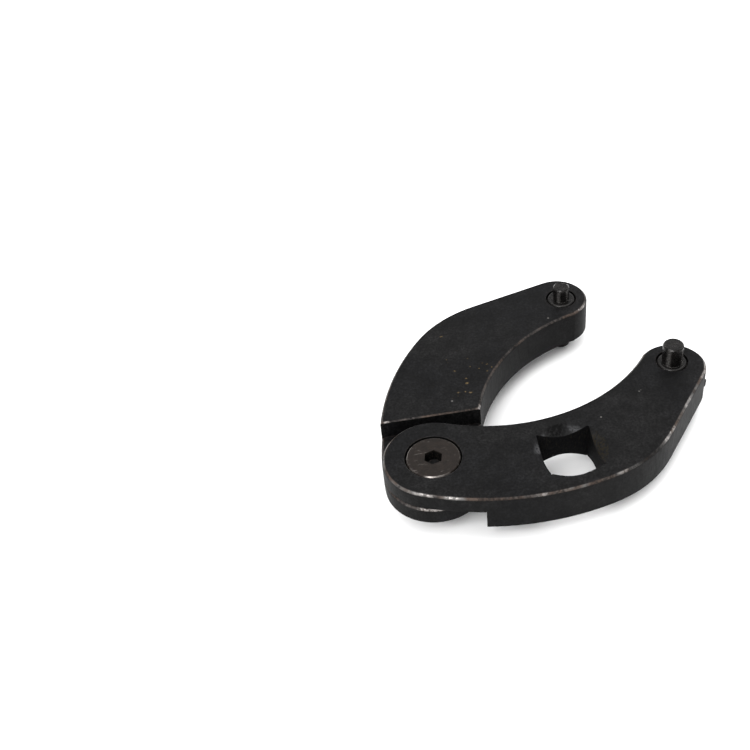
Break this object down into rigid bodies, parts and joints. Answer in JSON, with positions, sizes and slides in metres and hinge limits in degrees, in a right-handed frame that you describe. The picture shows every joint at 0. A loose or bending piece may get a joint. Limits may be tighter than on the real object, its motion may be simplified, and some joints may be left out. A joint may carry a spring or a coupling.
{
  "type": "adjustable gland nut wrench",
  "caption": "Curved steel arms joined by a pivot screw, with a stepped pin insert in each nose and a square drive hole, for turning hydraulic cylinder gland nuts.",
  "frame": {"origin": "centre of the square drive hole at the arms' mid-thickness", "axes": "+Z along the drive and the pivot, out of the face with the screw head; +X and +Y along the flats of the square, with the pivot towards -X and the noses towards +X +Y"},
  "size_m": [0.1267, 0.1134, 0.0314],
  "materials": {
    "black_steel": "black oxide, satin, worn at the edges",
    "screw_steel": "brown-grey oxide, satin",
    "pin_steel": "turned, dark, semi-bright",
    "set_screw_steel": "black oxide"
  },
  "bodies": {
    "front": {"front_arm": "black_steel", "front_pin": "pin_steel", "front_set_screw": "set_screw_steel"},
    "rear": {"rear_arm": "black_steel", "pivot_screw": "screw_steel", "rear_pin": "pin_steel", "rear_set_screw": "set_screw_steel"}
  },
  "joints": [
    {"name": "pivot", "type": "hinge", "parent": "front", "child": "rear", "pos_m": [-0.0471, 0.0088, 0], "axis": [0, 0, 1], "range_deg": [-20, 170]}
  ]
}
